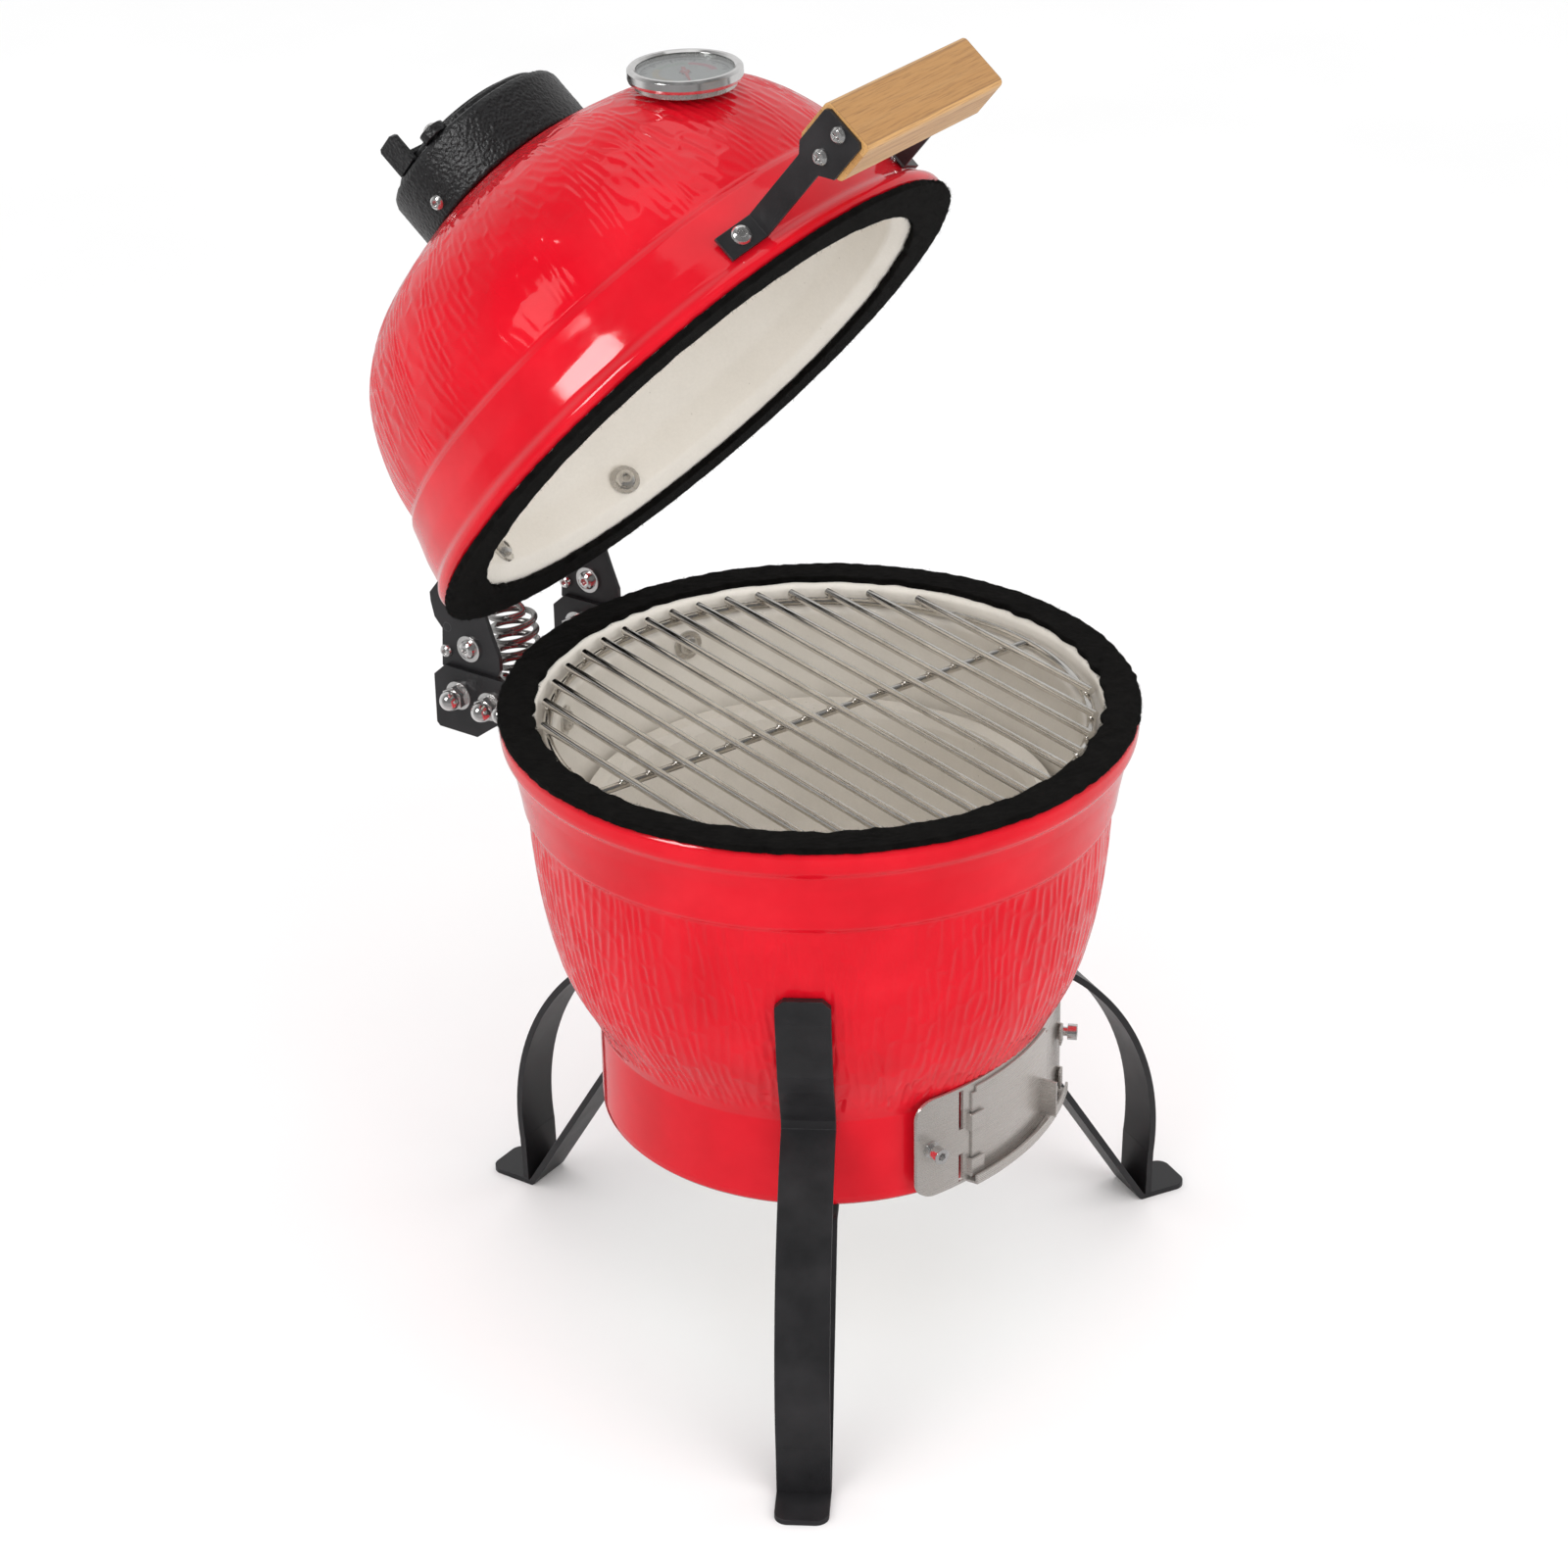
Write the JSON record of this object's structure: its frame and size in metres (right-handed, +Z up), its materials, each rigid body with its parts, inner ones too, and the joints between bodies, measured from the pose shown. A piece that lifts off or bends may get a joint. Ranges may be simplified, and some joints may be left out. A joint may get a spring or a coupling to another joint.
{
  "type": "kamado ceramic grill",
  "caption": "Small egg-shaped ceramic charcoal grill on a three-legged strap stand, with a hinged lid standing open, sliding draft door, chimney damper and lift-out grates.",
  "frame": {"origin": "on the floor, on the vertical axis of the ceramic base", "axes": "+Z up; -Y is the front, with the draft door and the lid handle; +Y is the rear, with the hinge; the hinge pins lie along X"},
  "size_m": [0.3951, 0.4071, 0.6996],
  "materials": {
    "glaze": "gloss",
    "fire_clay": "matte",
    "felt": "matte",
    "black_steel": "satin",
    "cast_iron": "matte",
    "bright_steel": "polished",
    "stainless": "satin",
    "bamboo": "satin",
    "lens": "gloss",
    "dial_face": "satin",
    "needle": "satin"
  },
  "bodies": {
    "base": {"base_shell": "glaze", "base_gasket": "felt", "stand_ring": "black_steel", "leg_front_left": "black_steel", "leg_front_right": "black_steel", "leg_rear": "black_steel", "strut_front_left": "black_steel", "strut_front_right": "black_steel", "strut_rear": "black_steel", "hinge_base_bracket": "black_steel", "hinge_side_arms": "black_steel", "hinge_clamp_bolts": "bright_steel", "hinge_clamp_spacers": "bright_steel", "hinge_cap_nuts": "bright_steel", "hinge_pivot_bolts": "bright_steel", "hinge_pivot_nuts": "bright_steel", "base_anchor_bolts": "bright_steel", "base_anchor_nuts": "bright_steel", "vent_frame": "stainless", "vent_frame_bolts": "bright_steel", "hinge_spring": "bright_steel"},
    "lid": {"lid_shell": "glaze", "lid_gasket": "felt", "hinge_lid_plates": "black_steel", "lid_anchor_bolts": "bright_steel", "lid_anchor_nuts": "bright_steel", "hinge_stop_rivets": "bright_steel", "spring_pin": "black_steel", "handle_bracket_left": "black_steel", "handle_bracket_right": "black_steel", "handle_grip": "bamboo", "handle_screws": "bright_steel", "handle_bolts": "bright_steel", "handle_nuts": "bright_steel", "thermometer_case": "stainless", "thermometer_bezel": "bright_steel", "thermometer_dial": "dial_face", "thermometer_lens": "lens", "thermometer_stem": "stainless", "thermometer_nut": "bright_steel", "chimney_collar": "cast_iron", "collar_screws": "bright_steel", "collar_pivot_screw": "bright_steel"},
    "chimney_cover": {"chimney_cover": "cast_iron", "damper_screw": "bright_steel"},
    "damper_wheel": {"damper_wheel": "cast_iron"},
    "thermometer_pointer": {"thermometer_pointer": "needle"},
    "vent_door": {"vent_door": "stainless"},
    "fire_bowl": {"fire_bowl": "fire_clay"},
    "charcoal_grate": {"charcoal_grate": "cast_iron"},
    "cooking_grate": {"grate_ring": "stainless", "grate_bars": "stainless", "grate_crossbar": "stainless"}
  },
  "joints": [
    {"name": "lid_hinge", "type": "hinge", "parent": "base", "child": "lid", "pos_m": [0, 0.1875, 0.357], "axis": [-1, 0, 0], "range_deg": [-50.46, 0], "deforming": ["hinge_spring"]},
    {"name": "chimney_cover_swivel", "type": "hinge", "parent": "lid", "child": "chimney_cover", "pos_m": [-0.04202, 0.19997, 0.63469], "axis": [0, 0.7712, 0.6366], "range_deg": [0, 110]},
    {"name": "damper_wheel_turn", "type": "hinge", "parent": "chimney_cover", "child": "damper_wheel", "pos_m": [0, 0.21188, 0.62026], "axis": [0, 0.7712, 0.6366], "range_deg": [-36, 0]},
    {"name": "thermometer_needle_turn", "type": "hinge", "parent": "lid", "child": "thermometer_pointer", "pos_m": [0, 0.07443, 0.68042], "axis": [0, 0.0255, 0.9997], "range_deg": [-270, 0]},
    {"name": "vent_door_slide", "type": "hinge", "parent": "base", "child": "vent_door", "pos_m": [-0.00222, 0.04535, 0.155], "axis": [0, 0, 1], "range_deg": [0, 8.6]},
    {"name": "fire_bowl_lift", "type": "slide", "parent": "base", "child": "fire_bowl", "axis": [0, 0, 1], "range_m": [0, 0.06]},
    {"name": "charcoal_grate_lift", "type": "slide", "parent": "fire_bowl", "child": "charcoal_grate", "axis": [0, 0, 1], "range_m": [0, 0.06]},
    {"name": "cooking_grate_lift", "type": "slide", "parent": "fire_bowl", "child": "cooking_grate", "axis": [0, 0, 1], "range_m": [0, 0.1]}
  ]
}
